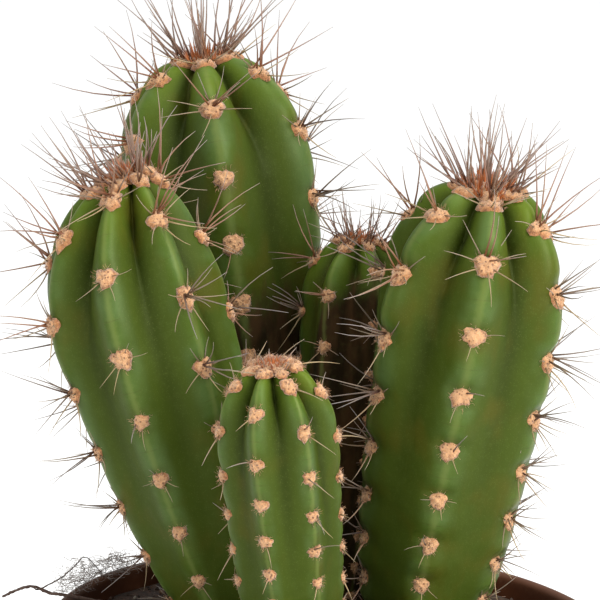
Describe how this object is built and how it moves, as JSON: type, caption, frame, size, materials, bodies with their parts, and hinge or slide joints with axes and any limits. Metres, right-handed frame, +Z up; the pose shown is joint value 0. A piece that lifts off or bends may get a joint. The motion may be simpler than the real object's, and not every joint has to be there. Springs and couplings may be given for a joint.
{
  "type": "potted tall cactus",
  "caption": "Clump of leaning ribbed columnar cactus stems with spine clusters and woolly spiny crowns, growing in soil in a plain round brown nursery pot.",
  "frame": {"origin": "centre of the pot's flat underside", "axes": "+Z up the pot and the plant; the tall stems lean mostly towards -X, and -Y is the side the smallest stem stands on"},
  "size_m": [0.1594, 0.143, 0.2763],
  "materials": {
    "cactus_skin": "waxy green skin, darker in the furrows, young green at the tips",
    "spines": "grey-brown dry spines in tan felt",
    "crown_spines": "red-brown young spines in tan wool",
    "soil": "dark crumbly potting mix",
    "pot": "moulded brown plastic, slightly dusty",
    "dry_fibre": "dry weathered root"
  },
  "bodies": {
    "root": {"pot": "pot", "soil": "soil", "stem_back_left": "cactus_skin", "crown_back_left": "crown_spines", "stem_front_left": "cactus_skin", "crown_front_left": "crown_spines", "stem_right": "cactus_skin", "crown_right": "crown_spines", "stem_front_small": "cactus_skin", "crown_front_small": "crown_spines", "stem_back_small": "cactus_skin", "crown_back_small": "crown_spines", "spines_back_left_01": "spines", "spines_back_left_02": "spines", "spines_back_left_03": "spines", "spines_back_left_04": "spines", "spines_back_left_05": "spines", "spines_back_left_06": "spines", "spines_front_left_01": "spines", "spines_front_left_02": "spines", "spines_front_left_03": "spines", "spines_front_left_04": "spines", "spines_front_left_05": "spines", "spines_front_left_06": "spines", "spines_front_left_07": "spines", "spines_front_left_08": "spines", "spines_front_left_09": "spines", "spines_front_left_10": "spines", "spines_front_left_11": "spines", "spines_front_left_12": "spines", "spines_front_left_13": "spines", "spines_front_left_14": "spines", "spines_right_01": "spines", "spines_right_02": "spines", "spines_right_03": "spines", "spines_right_04": "spines", "spines_right_05": "spines", "spines_right_06": "spines", "spines_right_07": "spines", "spines_right_08": "spines", "spines_right_09": "spines", "spines_right_10": "spines", "spines_right_11": "spines", "spines_right_12": "spines", "spines_front_small_01": "spines", "spines_front_small_02": "spines", "spines_front_small_03": "spines", "spines_front_small_04": "spines", "spines_front_small_05": "spines", "spines_front_small_06": "spines", "spines_front_small_07": "spines", "spines_back_small_01": "spines", "spines_back_small_02": "spines", "spines_back_small_03": "spines", "spines_back_small_04": "spines", "spines_back_small_05": "spines", "spines_back_small_06": "spines", "dry_root": "dry_fibre"}
  },
  "joints": []
}
